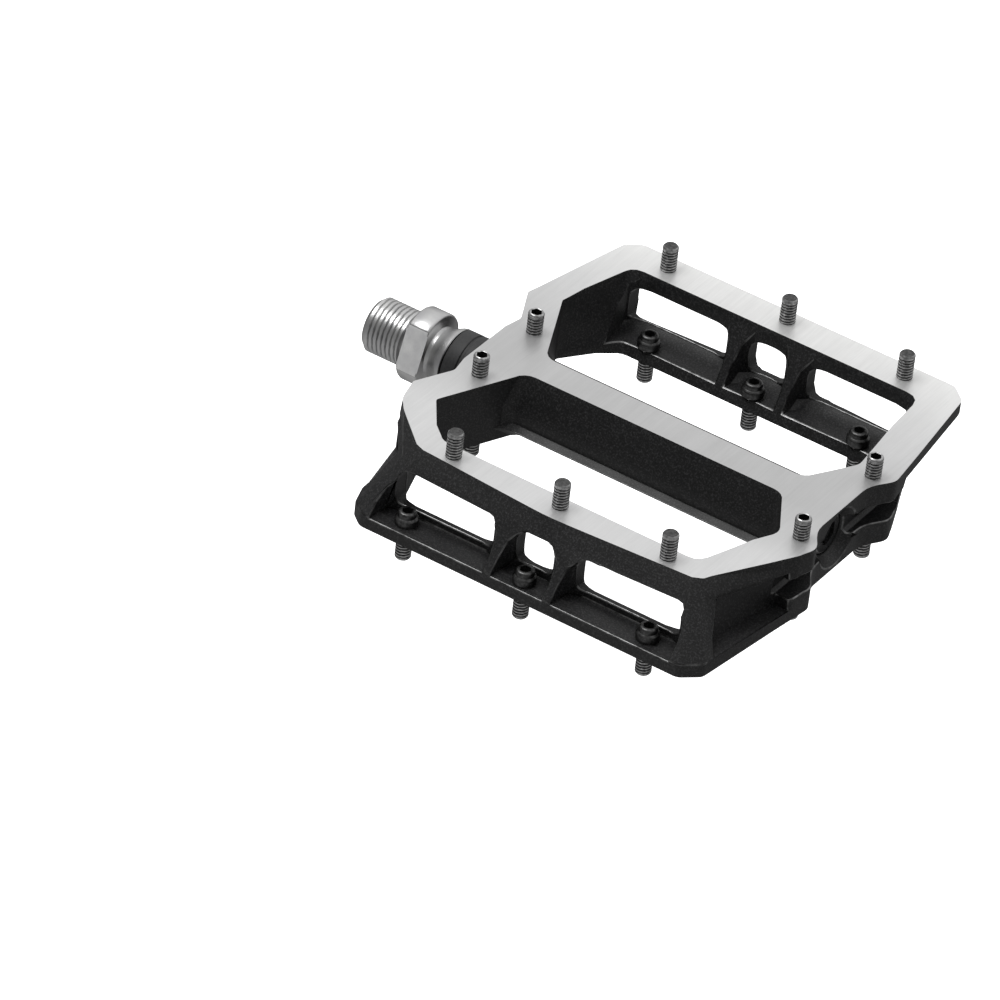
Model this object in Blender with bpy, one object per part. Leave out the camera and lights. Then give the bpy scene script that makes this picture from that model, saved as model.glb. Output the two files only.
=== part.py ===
"""Flat bicycle pedal: an open aluminium cage turning on a steel axle.

X runs along the axle, with the outboard end at +X. Y points to the leading rail and Z points up.
The pedal is the same after half a turn about X, so each feature of the upper face has its twin below.
"""

import math

import bmesh
import bpy
from mathutils import Matrix, Vector

# Platform heights and rail sections
FACE_HEIGHT = 0.0092
DISH_DEPTH = 0.0005
DISH_HALF_WIDTH = 0.030
FLANGE_THICKNESS = 0.0029
LIP_HEIGHT = 0.0037
PLATFORM_HALF_LENGTH = 0.0549
LONG_EDGE_Y = 0.0602
RAIL_SLANT = 0.0137
SHORT_EDGE_BOW = 0.0027
SHORT_BOW_RADIUS = 0.0600
LONG_BAND_WIDTH = 0.0096
SHORT_BAND_WIDTH = 0.0090

# Outline of the cage, seen from above
LONG_CORNER_INBOARD_INSET = 0.0078
LONG_CORNER_OUTBOARD_INSET = 0.0055
LONG_CUT_INBOARD = 0.0032
LONG_CUT_OUTBOARD = 0.0040
SHORT_CORNER_CUT = 0.0015
LONG_CORNER_RADIUS = 0.0028
SHORT_CORNER_RADIUS = 0.0012
WALL_RADIUS = 0.0080
INBOARD_LOBE_RADIUS = 0.0015
INBOARD_NECK_RADIUS = 0.0025
OUTBOARD_LOBE_RADIUS = 0.0040
OUTBOARD_NECK_RADIUS = 0.0090
SHORT_CORNER_INBOARD_INSET = 0.0168
SHORT_CORNER_OUTBOARD_INSET = 0.0149
INBOARD_LOBE_INSET = 0.0004
INBOARD_LOBE_Y = 0.0247
INBOARD_CHEEK_INSET = 0.0023
INBOARD_CHEEK_Y = 0.0326
INBOARD_NECK_INSET = 0.0053
INBOARD_NECK_Y = 0.0143
INBOARD_FACE_INSET = 0.0043
INBOARD_FACE_Y = 0.0090
OUTBOARD_LOBE_Y = 0.0177
OUTBOARD_CHEEK_INSET = 0.0019
OUTBOARD_CHEEK_Y = 0.0228
OUTBOARD_FACE_INSET = 0.0040
OUTBOARD_FACE_Y = 0.0115

# Openings between the spar, the rails and the end blocks
SPAR_TOP_HALF = 0.0041
SPAR_BACK_HALF = 0.0046
SPAR_WAIST_HALF = 0.0079
SPAR_WAIST_Z = 0.0005
SPAR_UNDERCUT = 0.0003
SPAR_LEDGE_Z = 0.0040
SPAR_SHOULDER_HALF = 0.0095
SPAR_SHOULDER_Z = 0.0051
SPAR_RISE = 0.0020
SPAR_FILLET_RADIUS = 0.0040
SPAR_FILLET_SHARE = 0.85
SPAR_FILLET_STEPS = 3
SPAR_ROOT = 0.0020
OPENING_OVERLAP = 0.0008
SPAR_END_INBOARD_INSET = 0.0195
SPAR_END_OUTBOARD_INSET = 0.0187
OPENING_BULGE_INBOARD_INSET = 0.0087
OPENING_BULGE_INBOARD_Y = 0.0274
OPENING_BULGE_OUTBOARD_INSET = 0.0103
OPENING_BULGE_OUTBOARD_Y = 0.0178
OPENING_LONG_INBOARD_INSET = 0.0141
OPENING_LONG_OUTBOARD_INSET = 0.0135
OPENING_SHORT_INBOARD_INSET = 0.0193
OPENING_SHORT_OUTBOARD_INSET = 0.0189
OPENING_RADIUS = 0.0040
OPENING_BULGE_RADIUS = 0.0012

# Bays, ribs and windows of each rail
RIB_X = 0.0084
RIB_WIDTH = 0.0024
BAY_END_INBOARD_INSET = 0.0134
BAY_END_OUTBOARD_INSET = 0.0124
BAY_END_LEAN = 0.15
BAY_CORNER_RADIUS = 0.0060
BAY_MOUTH_RADIUS = 0.0005
BAY_RIM = 0.0006
BAY_RIM_HEIGHT = 0.0003
BAY_RIM_RADIUS = 0.0020
BAY_FLOOR_STEP = 0.0002
BAY_TOP_Z = 0.0046
BAY_TOP_RADIUS = 0.0025
WEB_INSET = 0.0100
WEB_THICKNESS = 0.0017
FLOOR_RAMP = 0.0032
WINDOW_HALF_HEIGHT = 0.0044
WINDOW_INSET = 0.0020
WINDOW_MARGIN = 0.0020
WINDOW_CORNER_RADIUS = 0.0024

# Recesses in the end walls, the channel under the outboard lobes and the scoop round the cap
RECESS_TOP_Z = 0.0045
RECESS_FLOOR_Z = 0.0055
RECESS_TOP_DEPTH = 0.0018
RECESS_SHELF = 0.0050
RECESS_END = 0.0050
RECESS_FLARE = 0.0012
RECESS_LOBE_REACH = 0.0080
RECESS_RADIUS = 0.0016
CHANNEL_DEPTH = 0.0024
CHANNEL_HALF_HEIGHT = 0.0026
CHANNEL_HALF_LENGTH = 0.0265
CHANNEL_CHAMFER = 0.0009
SCOOP_RADIUS = 0.0079
SCOOP_DEPTH = 0.0030

# Traction pins
PIN_RADIUS = 0.0020
PIN_TIP_CHAMFER = 0.0004
PIN_SOCKET_ACROSS = 0.0025
PIN_SOCKET_DEPTH = 0.0020
RAIL_PIN_STAND = 0.0067
RAIL_PIN_COLLAR_RADIUS = 0.0029
RAIL_PIN_COLLAR_HEIGHT = 0.0023
RAIL_PIN_CROWN_RADIUS = 0.0023
RAIL_PIN_CROWN_HEIGHT = 0.0014
LONG_PIN_END_INSET = 0.0210
LONG_PIN_INSET = 0.0046
LONG_PIN_MID_INSET = 0.0038
SHORT_PIN_END_INSET = 0.0248
SHORT_PIN_INSET = 0.0027
END_PIN_STAND = 0.0058
END_PIN_SUNK = 0.0050
END_PIN_INBOARD_END_INSET = 0.0108
END_PIN_INBOARD_Y = 0.0118
END_PIN_OUTBOARD_END_INSET = 0.0055
END_PIN_OUTBOARD_Y = 0.0161

# Axle, measured from the cage's middle towards the crank
THREAD_RADIUS = 0.00714
THREAD_CHAMFER = 0.0011
THREAD_LENGTH = 0.0120
COLLAR_RADIUS = 0.0096
COLLAR_LENGTH = 0.0060
COLLAR_CHAMFER = 0.0006
WRENCH_ACROSS = 0.0150
WRENCH_ANGLE_DEG = 160.0
WAIST_LENGTH = 0.0055
WAIST_RADIUS = 0.0064
WAIST_STEP = 0.0004
WAIST_FLARE_START = 0.0019
WAIST_FLARE_MIDDLE = 0.0041
SEAL_LENGTH = 0.0066
SEAL_RADIUS = 0.0081
JOURNAL_RADIUS = 0.0057
SHAFT_ROOT_RADIUS = 0.0048
SHAFT_END_RADIUS = 0.0036
SHAFT_TAPER = 0.0120

# Bush, bearings, nut and cap
BUSH_LENGTH = 0.0095
BUSH_WALL = 0.0010
BEARING_BORE = 0.0050
BEARING_OUTSIDE = 0.0110
BEARING_WIDTH = 0.0050
BEARING_COUNT = 3
BALL_COUNT = 7
BALL_RADIUS = 0.0008
RACE_WALL = 0.0008
RETAINER_HALF = 0.0003
WASHER_THICKNESS = 0.0008
WASHER_RADIUS = 0.0044
NUT_LENGTH = 0.0030
NUT_ACROSS = 0.0080
CAP_LENGTH = 0.0016
CAP_SOCKET_ACROSS = 0.0060
CAP_SOCKET_DEPTH = 0.0009

# Clearances
FIT_GAP = 0.0003
SPAR_BORE_CLEARANCE = 0.0005
CUT_MARGIN = 0.0040
MERGE_DISTANCE = 0.000005
WELD_DISTANCE = 0.0000001

# Smoothness
CORNER_STEPS = 3
OPENING_STEPS = 4
CORNER_SHARE = 0.45
SHARP_ANGLE_DEG = 32.0
FLAT_ANGLE_DEG = 0.05
PIN_SEGMENTS = 12
AXLE_SEGMENTS = 36
BEARING_SEGMENTS = 18
BALL_SEGMENTS = 6
BALL_RINGS = 4

HALF_TURN = Matrix.Rotation(math.pi, 4, "X")
Z_TO_X = Matrix.Rotation(math.pi / 2, 4, "Y")

# Places worked out from the sizes above
FLOOR_Z = FACE_HEIGHT - FLANGE_THICKNESS
LIP_Z = FACE_HEIGHT - LIP_HEIGHT
SHORT_EDGE_Y = LONG_EDGE_Y - RAIL_SLANT
OPENING_SPAR_Y = SPAR_TOP_HALF - OPENING_OVERLAP
LONG_CORNER_INBOARD_X = PLATFORM_HALF_LENGTH - LONG_CORNER_INBOARD_INSET
LONG_CORNER_OUTBOARD_X = PLATFORM_HALF_LENGTH - LONG_CORNER_OUTBOARD_INSET
SHORT_CORNER_INBOARD_X = PLATFORM_HALF_LENGTH - SHORT_CORNER_INBOARD_INSET
SHORT_CORNER_OUTBOARD_X = PLATFORM_HALF_LENGTH - SHORT_CORNER_OUTBOARD_INSET
INBOARD_LOBE_X = PLATFORM_HALF_LENGTH - INBOARD_LOBE_INSET
INBOARD_CHEEK_X = PLATFORM_HALF_LENGTH - INBOARD_CHEEK_INSET
INBOARD_NECK_X = PLATFORM_HALF_LENGTH - INBOARD_NECK_INSET
INBOARD_FACE_X = PLATFORM_HALF_LENGTH - INBOARD_FACE_INSET
OUTBOARD_LOBE_X = PLATFORM_HALF_LENGTH
OUTBOARD_CHEEK_X = PLATFORM_HALF_LENGTH - OUTBOARD_CHEEK_INSET
OUTBOARD_FACE_X = PLATFORM_HALF_LENGTH - OUTBOARD_FACE_INSET
SPAR_END_INBOARD_X = PLATFORM_HALF_LENGTH - SPAR_END_INBOARD_INSET
SPAR_END_OUTBOARD_X = PLATFORM_HALF_LENGTH - SPAR_END_OUTBOARD_INSET
OPENING_BULGE_INBOARD_X = PLATFORM_HALF_LENGTH - OPENING_BULGE_INBOARD_INSET
OPENING_BULGE_OUTBOARD_X = PLATFORM_HALF_LENGTH - OPENING_BULGE_OUTBOARD_INSET
OPENING_LONG_INBOARD_X = PLATFORM_HALF_LENGTH - OPENING_LONG_INBOARD_INSET
OPENING_LONG_OUTBOARD_X = PLATFORM_HALF_LENGTH - OPENING_LONG_OUTBOARD_INSET
OPENING_SHORT_INBOARD_X = PLATFORM_HALF_LENGTH - OPENING_SHORT_INBOARD_INSET
OPENING_SHORT_OUTBOARD_X = PLATFORM_HALF_LENGTH - OPENING_SHORT_OUTBOARD_INSET
BAY_END_INBOARD_X = PLATFORM_HALF_LENGTH - BAY_END_INBOARD_INSET
BAY_END_OUTBOARD_X = PLATFORM_HALF_LENGTH - BAY_END_OUTBOARD_INSET
LONG_PIN_X = PLATFORM_HALF_LENGTH - LONG_PIN_END_INSET
SHORT_PIN_X = PLATFORM_HALF_LENGTH - SHORT_PIN_END_INSET
END_PIN_INBOARD_X = PLATFORM_HALF_LENGTH - END_PIN_INBOARD_END_INSET
END_PIN_OUTBOARD_X = PLATFORM_HALF_LENGTH - END_PIN_OUTBOARD_END_INSET
WEB_INNER_Y = LONG_EDGE_Y - WEB_INSET
WEB_OUTER_Y = WEB_INNER_Y + WEB_THICKNESS
LONG_PIN_Y = LONG_EDGE_Y - LONG_PIN_INSET
LONG_PIN_MID_Y = LONG_EDGE_Y - LONG_PIN_MID_INSET
SHORT_PIN_Y = SHORT_EDGE_Y - SHORT_PIN_INSET
SEAL_START_X = -INBOARD_FACE_X - FIT_GAP
SEAL_END_X = SEAL_START_X - SEAL_LENGTH
WAIST_START_X = SEAL_END_X - FIT_GAP
COLLAR_START_X = WAIST_START_X - WAIST_LENGTH
CRANK_SEAT_X = COLLAR_START_X - COLLAR_LENGTH
AXLE_TIP_X = CRANK_SEAT_X - THREAD_LENGTH
CAP_END_X = OUTBOARD_FACE_X - SCOOP_DEPTH
CAP_START_X = CAP_END_X - CAP_LENGTH
NUT_END_X = CAP_START_X - 2 * FIT_GAP
NUT_START_X = NUT_END_X - NUT_LENGTH
WASHER_START_X = NUT_START_X - FIT_GAP - WASHER_THICKNESS
BEARING_STEP = BEARING_WIDTH + FIT_GAP
BEARING_START_X = WASHER_START_X - BEARING_COUNT * BEARING_STEP
BEARING_SEAT_RADIUS = BEARING_BORE / 2 - FIT_GAP
BUSH_INNER_RADIUS = JOURNAL_RADIUS + FIT_GAP
BUSH_OUTER_RADIUS = BUSH_INNER_RADIUS + BUSH_WALL
BUSH_START_X = -INBOARD_FACE_X + FIT_GAP
BUSH_END_X = BUSH_START_X + BUSH_LENGTH
SPAR_BORE_RADIUS = SHAFT_ROOT_RADIUS + SPAR_BORE_CLEARANCE
CAGE_BORE_RADIUS = BEARING_OUTSIDE / 2 + FIT_GAP
CAP_RADIUS = BEARING_OUTSIDE / 2
CAGE_MIDDLE_X = -(AXLE_TIP_X + OUTBOARD_LOBE_X) / 2


def clear_scene():
    for obj in list(bpy.data.objects):
        bpy.data.objects.remove(obj, do_unlink=True)


def metal(name, colour, roughness, metallic=1.0):
    material = bpy.data.materials.new(name)
    material.use_nodes = True
    shader = material.node_tree.nodes["Principled BSDF"]
    shader.inputs["Base Color"].default_value = (*colour, 1.0)
    shader.inputs["Roughness"].default_value = roughness
    shader.inputs["Metallic"].default_value = metallic
    return material


def add_object(name, bm, material=None, parent=None):
    bmesh.ops.remove_doubles(bm, verts=bm.verts, dist=WELD_DISTANCE)
    bmesh.ops.recalc_face_normals(bm, faces=bm.faces)
    mesh = bpy.data.meshes.new(name)
    bm.to_mesh(mesh)
    bm.free()
    mesh.shade_smooth()
    mesh.set_sharp_from_angle(angle=math.radians(SHARP_ANGLE_DEG))
    obj = bpy.data.objects.new(name, mesh)
    bpy.context.scene.collection.objects.link(obj)
    if material:
        mesh.materials.append(material)
    obj.parent = parent
    return obj


def add_rings(bm, rings, closed=False):
    """Skins a stack of rings with equal point counts, capping both ends unless the stack closes on itself."""
    levels = [[bm.verts.new(point) for point in ring] for ring in rings]
    count = len(levels[0])
    pairs = list(zip(levels, levels[1:]))
    if closed:
        pairs.append((levels[-1], levels[0]))
    for upper, lower in pairs:
        for i in range(count):
            j = (i + 1) % count
            bm.faces.new((upper[i], upper[j], lower[j]))
            bm.faces.new((upper[i], lower[j], lower[i]))
    if not closed:
        bm.faces.new(levels[0])
        bm.faces.new(list(reversed(levels[-1])))


def rounded(corners):
    """Points of a closed outline whose (x, y, radius) corners become arcs."""
    points = []
    count = len(corners)
    for i, (x, y, radius) in enumerate(corners):
        corner = Vector((x, y))
        before = Vector(corners[i - 1][:2]) - corner
        after = Vector(corners[(i + 1) % count][:2]) - corner
        half = before.angle(after) / 2
        reach = min(radius / math.tan(half), CORNER_SHARE * before.length, CORNER_SHARE * after.length)
        start = corner + before.normalized() * reach
        end = corner + after.normalized() * reach
        for step in range(CORNER_STEPS + 1):
            t = step / CORNER_STEPS
            points.append((1 - t) ** 2 * start + 2 * t * (1 - t) * corner + t**2 * end)
    return points


def at_height(points, z):
    return [Vector((p.x, p.y, z)) for p in points]


def turned(bm, profile, segments, matrix, closed=False):
    """Turns (radius, z) points about Z. A third entry "hex" makes that ring a hexagon of that half width."""
    rings = []
    for radius, z, *shape in profile:
        ring = []
        for i in range(segments):
            angle = 2 * math.pi * i / segments
            reach = radius
            if shape:
                reach = radius / math.cos((angle % (math.pi / 3)) - math.pi / 6)
            ring.append(matrix @ Vector((reach * math.cos(angle), reach * math.sin(angle), z)))
        rings.append(ring)
    add_rings(bm, rings, closed)


def prism(bm, section, start, end, axis="X"):
    """Extrudes (y, z) points along X, or (x, z) points along Y."""
    if axis == "X":
        rings = [[Vector((place, a, b)) for a, b in section] for place in (start, end)]
    else:
        rings = [[Vector((a, place, b)) for a, b in section] for place in (start, end)]
    add_rings(bm, rings)


def add_twin(bm):
    """Adds the copy that half a turn about the axle gives."""
    extra = bmesh.ops.duplicate(bm, geom=bm.verts[:] + bm.edges[:] + bm.faces[:])
    copied = [item for item in extra["geom"] if isinstance(item, bmesh.types.BMVert)]
    bmesh.ops.transform(bm, matrix=HALF_TURN, verts=copied)


def combine(target, bm, operation="DIFFERENCE"):
    """Cuts a tool out of the target, or joins it on, and leaves the result as the target's mesh."""
    tool = add_object("tool", bm, parent=target.parent)
    modifier = target.modifiers.new(operation.lower(), "BOOLEAN")
    modifier.operation = operation
    modifier.solver = "EXACT"
    modifier.object = tool
    result = bpy.data.meshes.new_from_object(target.evaluated_get(bpy.context.evaluated_depsgraph_get()))
    target.modifiers.clear()
    target.data = result
    bpy.data.objects.remove(tool, do_unlink=True)


def tidy_faces(obj):
    """Joins the flat facets that the cuts left in pieces."""
    bm = bmesh.new()
    bm.from_mesh(obj.data)
    bmesh.ops.remove_doubles(bm, verts=bm.verts, dist=MERGE_DISTANCE)
    bmesh.ops.dissolve_degenerate(bm, edges=bm.edges, dist=MERGE_DISTANCE)
    bmesh.ops.dissolve_limit(bm, angle_limit=math.radians(FLAT_ANGLE_DEG), verts=bm.verts, edges=bm.edges)
    bmesh.ops.triangulate(bm, faces=bm.faces)
    bm.to_mesh(obj.data)
    bm.free()
    obj.data.shade_smooth()
    obj.data.set_sharp_from_angle(angle=math.radians(SHARP_ANGLE_DEG))


def cut_corner(before, corner, after, cut):
    """The two ends of the edge that cuts a corner off."""
    first = corner + (before - corner).normalized() * cut
    second = corner + (after - corner).normalized() * cut
    return first, second


def end_wall(side):
    """Plan points of one end: long corner, lobe, cheek and short corner, with side -1 inboard and 1 outboard."""
    if side < 0:
        long_corner = Vector((-LONG_CORNER_INBOARD_X, LONG_EDGE_Y))
        lobe = Vector((-INBOARD_LOBE_X, INBOARD_LOBE_Y))
        cheek = Vector((-INBOARD_CHEEK_X, -INBOARD_CHEEK_Y))
        short_corner = Vector((-SHORT_CORNER_INBOARD_X, -SHORT_EDGE_Y))
        long_cut = LONG_CUT_INBOARD
    else:
        long_corner = Vector((LONG_CORNER_OUTBOARD_X, LONG_EDGE_Y))
        lobe = Vector((OUTBOARD_LOBE_X, OUTBOARD_LOBE_Y))
        cheek = Vector((OUTBOARD_CHEEK_X, -OUTBOARD_CHEEK_Y))
        short_corner = Vector((SHORT_CORNER_OUTBOARD_X, -SHORT_EDGE_Y))
        long_cut = LONG_CUT_OUTBOARD
    trailing_lobe = Vector((lobe.x, -lobe.y))
    middle = Vector((0.0, LONG_EDGE_Y))
    long_rail, long_end = cut_corner(middle, long_corner, lobe, long_cut)
    short_rail, short_end = cut_corner(Vector((0.0, -SHORT_EDGE_Y)), short_corner, cheek, SHORT_CORNER_CUT)
    share = (cheek - trailing_lobe).length / ((cheek - trailing_lobe).length + (short_end - cheek).length)
    return {
        "long_rail": long_rail,
        "long_end": long_end,
        "wall": lobe.lerp(long_end, share),
        "lobe": lobe,
        "trailing_lobe": trailing_lobe,
        "cheek": cheek,
        "short_end": short_end,
        "short_rail": short_rail,
    }


def cage_outline():
    """Upper outline, anticlockwise from the long rail's inboard corner."""
    inner = end_wall(-1)
    outer = end_wall(1)
    inboard = [
        (*inner["long_rail"], LONG_CORNER_RADIUS),
        (*inner["long_end"], LONG_CORNER_RADIUS),
        (*inner["wall"], WALL_RADIUS),
        (*inner["lobe"], INBOARD_LOBE_RADIUS),
        (-INBOARD_NECK_X, INBOARD_NECK_Y, INBOARD_NECK_RADIUS),
        (-INBOARD_FACE_X, INBOARD_FACE_Y, INBOARD_NECK_RADIUS),
        (-INBOARD_FACE_X, -INBOARD_FACE_Y, INBOARD_NECK_RADIUS),
        (-INBOARD_NECK_X, -INBOARD_NECK_Y, INBOARD_NECK_RADIUS),
        (*inner["trailing_lobe"], INBOARD_LOBE_RADIUS),
        (*inner["cheek"], WALL_RADIUS),
        (*inner["short_end"], SHORT_CORNER_RADIUS),
        (*inner["short_rail"], SHORT_CORNER_RADIUS),
    ]
    outboard = [
        (*outer["short_rail"], SHORT_CORNER_RADIUS),
        (*outer["short_end"], SHORT_CORNER_RADIUS),
        (*outer["cheek"], WALL_RADIUS),
        (*outer["trailing_lobe"], OUTBOARD_LOBE_RADIUS),
        (OUTBOARD_FACE_X, -OUTBOARD_FACE_Y, OUTBOARD_NECK_RADIUS),
        (OUTBOARD_FACE_X, OUTBOARD_FACE_Y, OUTBOARD_NECK_RADIUS),
        (*outer["lobe"], OUTBOARD_LOBE_RADIUS),
        (*outer["wall"], WALL_RADIUS),
        (*outer["long_end"], LONG_CORNER_RADIUS),
        (*outer["long_rail"], LONG_CORNER_RADIUS),
    ]
    short_middle = (0.0, -SHORT_EDGE_Y - SHORT_EDGE_BOW, SHORT_BOW_RADIUS)
    long_middle = (0.0, LONG_EDGE_Y, SHORT_BOW_RADIUS)
    corners = inboard + [short_middle] + outboard + [long_middle]
    twin_start = (len(outboard) + 2) * (CORNER_STEPS + 1)
    return rounded(corners), twin_start


def cage_hull():
    """The cage's outside: slanted rail walls between two outlines, with an upright lip on each long edge."""
    top, twin_start = cage_outline()
    below = [Vector((p.x, -p.y)) for p in reversed(top)]
    bottom = below[twin_start:] + below[:twin_start]
    slope = LIP_HEIGHT / (2 * FACE_HEIGHT - LIP_HEIGHT)
    upper, lower = [], []
    for high, low in zip(top, bottom):
        long_side = high.y > 0
        upper.append(high if long_side else high.lerp(low, slope))
        lower.append(high.lerp(low, 1 - slope) if long_side else low)
    bm = bmesh.new()
    add_rings(
        bm,
        [
            at_height(top, FACE_HEIGHT),
            at_height(upper, LIP_Z),
            at_height(lower, -LIP_Z),
            at_height(bottom, -FACE_HEIGHT),
        ],
    )
    return bm


def opening_tool():
    """The opening beside the long rail, slanted like the rail, and its twin."""
    long_inner = LONG_EDGE_Y - LONG_BAND_WIDTH
    short_inner = SHORT_EDGE_Y + SHORT_EDGE_BOW - SHORT_BAND_WIDTH

    def ring(rail_y, inboard_x, outboard_x):
        return rounded(
            [
                (-SPAR_END_INBOARD_X, OPENING_SPAR_Y, OPENING_RADIUS),
                (SPAR_END_OUTBOARD_X, OPENING_SPAR_Y, OPENING_RADIUS),
                (OPENING_BULGE_OUTBOARD_X, OPENING_BULGE_OUTBOARD_Y, OPENING_RADIUS),
                (outboard_x, rail_y, OPENING_RADIUS),
                (-inboard_x, rail_y, OPENING_RADIUS),
                (-OPENING_BULGE_INBOARD_X, OPENING_BULGE_INBOARD_Y, OPENING_BULGE_RADIUS),
            ]
        )

    above = ring(long_inner, OPENING_LONG_INBOARD_X, OPENING_LONG_OUTBOARD_X)
    below = ring(short_inner, OPENING_SHORT_INBOARD_X, OPENING_SHORT_OUTBOARD_X)
    reach = FACE_HEIGHT + CUT_MARGIN
    levels = []
    for step in range(OPENING_STEPS + 1):
        z = reach * (1 - 2 * step / OPENING_STEPS)
        share = (FACE_HEIGHT - z) / (2 * FACE_HEIGHT)
        levels.append(at_height([a.lerp(b, share) for a, b in zip(above, below)], z))
    bm = bmesh.new()
    add_rings(bm, levels)
    add_twin(bm)
    return bm


def spar_ring(section, side, share):
    """Ring of the spar by an end block, a share of the way through the fillet that sweeps out to its wall."""
    if side < 0:
        end_x, bulge_x, bulge_y = SPAR_END_INBOARD_X, OPENING_BULGE_INBOARD_X, OPENING_BULGE_INBOARD_Y
    else:
        end_x, bulge_x, bulge_y = SPAR_END_OUTBOARD_X, OPENING_BULGE_OUTBOARD_X, OPENING_BULGE_OUTBOARD_Y
    turn = math.atan2(bulge_y - OPENING_SPAR_Y, bulge_x - end_x)
    reach = SPAR_FILLET_RADIUS * (math.sin(share * turn) - math.tan(turn / 2))
    swell = SPAR_FILLET_RADIUS * (1 - math.cos(share * turn))
    ring = []
    for y, z in section:
        corner = end_x + (abs(y) - OPENING_SPAR_Y) / math.tan(turn)
        ring.append(Vector((side * (corner + reach), y + math.copysign(swell, y), z)))
    return ring


def spar_body():
    """Spar that leans out to a ledge low on one side and, turned over, high on the other."""
    flat = FACE_HEIGHT - DISH_DEPTH
    lean = (SPAR_WAIST_HALF - SPAR_TOP_HALF) / (flat - SPAR_WAIST_Z)
    fall = (SPAR_SHOULDER_HALF - SPAR_BACK_HALF) / (flat - SPAR_SHOULDER_Z)
    half = [
        (-SPAR_TOP_HALF + lean * SPAR_RISE, flat + SPAR_RISE),
        (-SPAR_WAIST_HALF, SPAR_WAIST_Z),
        (-SPAR_WAIST_HALF + SPAR_UNDERCUT, -SPAR_LEDGE_Z),
        (-SPAR_SHOULDER_HALF, -SPAR_SHOULDER_Z),
        (-SPAR_BACK_HALF + fall * SPAR_RISE, -flat - SPAR_RISE),
    ]
    section = half + [(-y, -z) for y, z in half]
    shares = [SPAR_FILLET_SHARE * step / SPAR_FILLET_STEPS for step in range(SPAR_FILLET_STEPS + 1)]
    inboard = [spar_ring(section, -1, share) for share in shares]
    outboard = [spar_ring(section, 1, share) for share in shares]
    inboard.append([point - Vector((SPAR_ROOT, 0, 0)) for point in inboard[-1]])
    outboard.append([point + Vector((SPAR_ROOT, 0, 0)) for point in outboard[-1]])
    bm = bmesh.new()
    add_rings(bm, list(reversed(inboard)) + outboard)
    return bm


def dish_tool():
    """Leaves the middle of each face slightly lower than its rails."""
    low = FACE_HEIGHT - DISH_DEPTH
    over = FACE_HEIGHT + CUT_MARGIN
    edge = LONG_EDGE_Y + CUT_MARGIN
    section = [
        (-edge, FACE_HEIGHT),
        (-DISH_HALF_WIDTH, low),
        (DISH_HALF_WIDTH, low),
        (edge, FACE_HEIGHT),
        (edge, over),
        (-edge, over),
    ]
    reach = INBOARD_LOBE_X + CUT_MARGIN
    bm = bmesh.new()
    prism(bm, section, -reach, reach)
    add_twin(bm)
    return bm


def bay_spans(inboard_x, outboard_x):
    """Start and end of the three bays that two ribs leave along a rail."""
    inner = RIB_X - RIB_WIDTH / 2
    outer = RIB_X + RIB_WIDTH / 2
    return [(-inboard_x, -outer), (-inner, inner), (outer, outboard_x)]


def bay_plan(start, end, web_y, mouth_y, mouth_radius):
    """Plan of a bay between its web and its open side, round where its ends meet the web."""
    return rounded(
        [
            (start, web_y, BAY_CORNER_RADIUS),
            (end, web_y, BAY_CORNER_RADIUS),
            (end, mouth_y, mouth_radius),
            (start, mouth_y, mouth_radius),
        ]
    )


def inner_bay_tool():
    """Bays behind the long rail's band, open upwards, over the flange that carries the lower pins."""
    over = FACE_HEIGHT + CUT_MARGIN
    mouth = SHORT_EDGE_Y - SHORT_BAND_WIDTH - CUT_MARGIN
    foot_z = -WINDOW_HALF_HEIGHT - FIT_GAP
    spans = bay_spans(OPENING_LONG_INBOARD_X, OPENING_LONG_OUTBOARD_X)
    bm = bmesh.new()
    for start, end in spans:
        upright = bay_plan(start, end, WEB_INNER_Y, mouth, BAY_MOUTH_RADIUS)
        foot = bay_plan(start, end, WEB_INNER_Y - FLOOR_RAMP, mouth, BAY_MOUTH_RADIUS)
        add_rings(bm, [at_height(upright, over), at_height(upright, foot_z), at_height(foot, -FLOOR_Z)])
    end_bays = ((spans[0][0], 1), (spans[2][1], -1))
    for vert in bm.verts:
        for end_x, side in end_bays:
            if abs(vert.co.x - end_x) < BAY_CORNER_RADIUS:
                vert.co.x += side * BAY_END_LEAN * (WEB_INNER_Y - vert.co.y)
    add_twin(bm)
    return bm


def outer_bay_tool():
    """Bays in the short rail's slanted outer face, over a floor with a rim along the flange's edge."""
    outside = -LONG_EDGE_Y - CUT_MARGIN
    rim_y = -LONG_EDGE_Y + BAY_RIM
    rim_z = -FLOOR_Z + BAY_RIM_HEIGHT
    bm = bmesh.new()
    for start, end in bay_spans(BAY_END_INBOARD_X, BAY_END_OUTBOARD_X):
        step_in = BAY_FLOOR_STEP
        floor = bay_plan(start + step_in, end - step_in, -WEB_OUTER_Y - step_in, rim_y, BAY_RIM_RADIUS)
        mouth = bay_plan(start, end, -WEB_OUTER_Y, outside, BAY_MOUTH_RADIUS)
        levels = [at_height(floor, -FLOOR_Z), at_height(floor, rim_z), at_height(mouth, rim_z)]
        for step in range(CORNER_STEPS + 1):
            angle = math.pi / 2 * step / CORNER_STEPS
            inset = BAY_TOP_RADIUS * (1 - math.cos(angle))
            z = BAY_TOP_Z - BAY_TOP_RADIUS * (1 - math.sin(angle))
            plan = bay_plan(start + inset, end - inset, -WEB_OUTER_Y, outside, BAY_MOUTH_RADIUS)
            levels.append(at_height(plan, z))
        add_rings(bm, levels)
    add_twin(bm)
    return bm


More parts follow.
